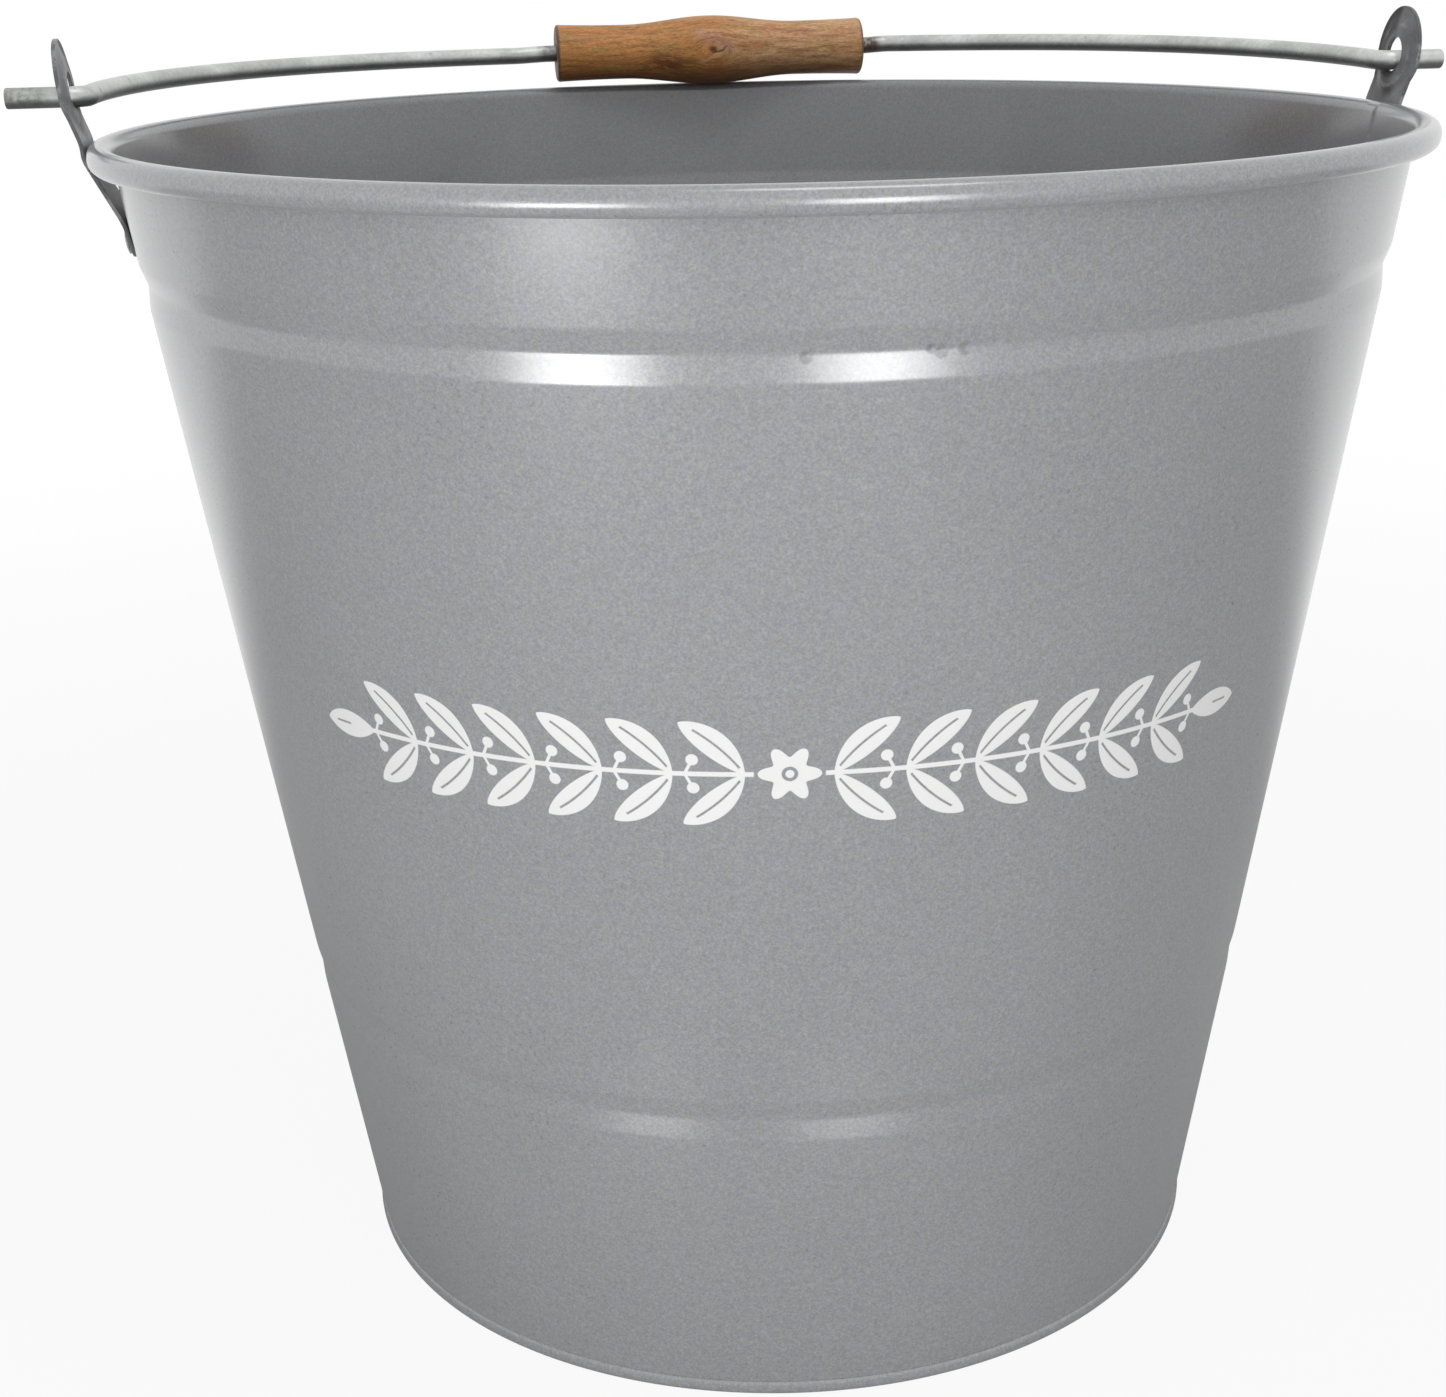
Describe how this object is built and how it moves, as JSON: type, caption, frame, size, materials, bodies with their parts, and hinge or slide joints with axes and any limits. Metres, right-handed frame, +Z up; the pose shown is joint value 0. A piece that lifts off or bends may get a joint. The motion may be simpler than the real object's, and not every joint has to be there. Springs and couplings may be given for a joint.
{
  "type": "kindling bucket",
  "caption": "Tapered sheet steel kindling bucket with a rolled wired rim, pressed grooves, riveted ears, a swinging wire bail and a turned wooden grip.",
  "frame": {"origin": "on the floor, in the middle of the base's foot", "axes": "+Z up along the bucket's axis, +X towards the right ear along the bail's pivot line, +Y towards the back, where the bail lies on the rim"},
  "size_m": [0.3536, 0.3228, 0.3105],
  "materials": {
    "body_paint": "satin grey coating on sheet steel",
    "base_paint": "satin grey coating on sheet steel",
    "rim_wire_steel": "bare galvanised wire, hidden in the rolled rim",
    "ear_paint": "darker satin grey coating on pressed steel",
    "rivet_paint": "satin grey coating",
    "bail_zinc": "dull galvanised wire with dark marks and a little rust at the grip",
    "grip_wood": "turned hardwood with a clear matt finish"
  },
  "bodies": {
    "bucket": {"body_shell": "body_paint", "base_disc": "base_paint", "rim_wire": "rim_wire_steel", "left_ear": "ear_paint", "right_ear": "ear_paint", "left_ear_rivet_front": "rivet_paint", "left_ear_rivet_back": "rivet_paint", "right_ear_rivet_front": "rivet_paint", "right_ear_rivet_back": "rivet_paint"},
    "bail": {"bail_wire": "bail_zinc"},
    "grip": {"wood_grip": "grip_wood"}
  },
  "joints": [
    {"name": "bail_swing", "type": "hinge", "parent": "bucket", "child": "bail", "pos_m": [0, 0, 0.2974], "axis": [1, 0, 0], "range_deg": [0, 179.6]},
    {"name": "grip_spin", "type": "hinge", "parent": "bail", "child": "grip", "pos_m": [0.0086, 0.153, 0.29766], "axis": [1, 0, 0], "continuous": true}
  ]
}
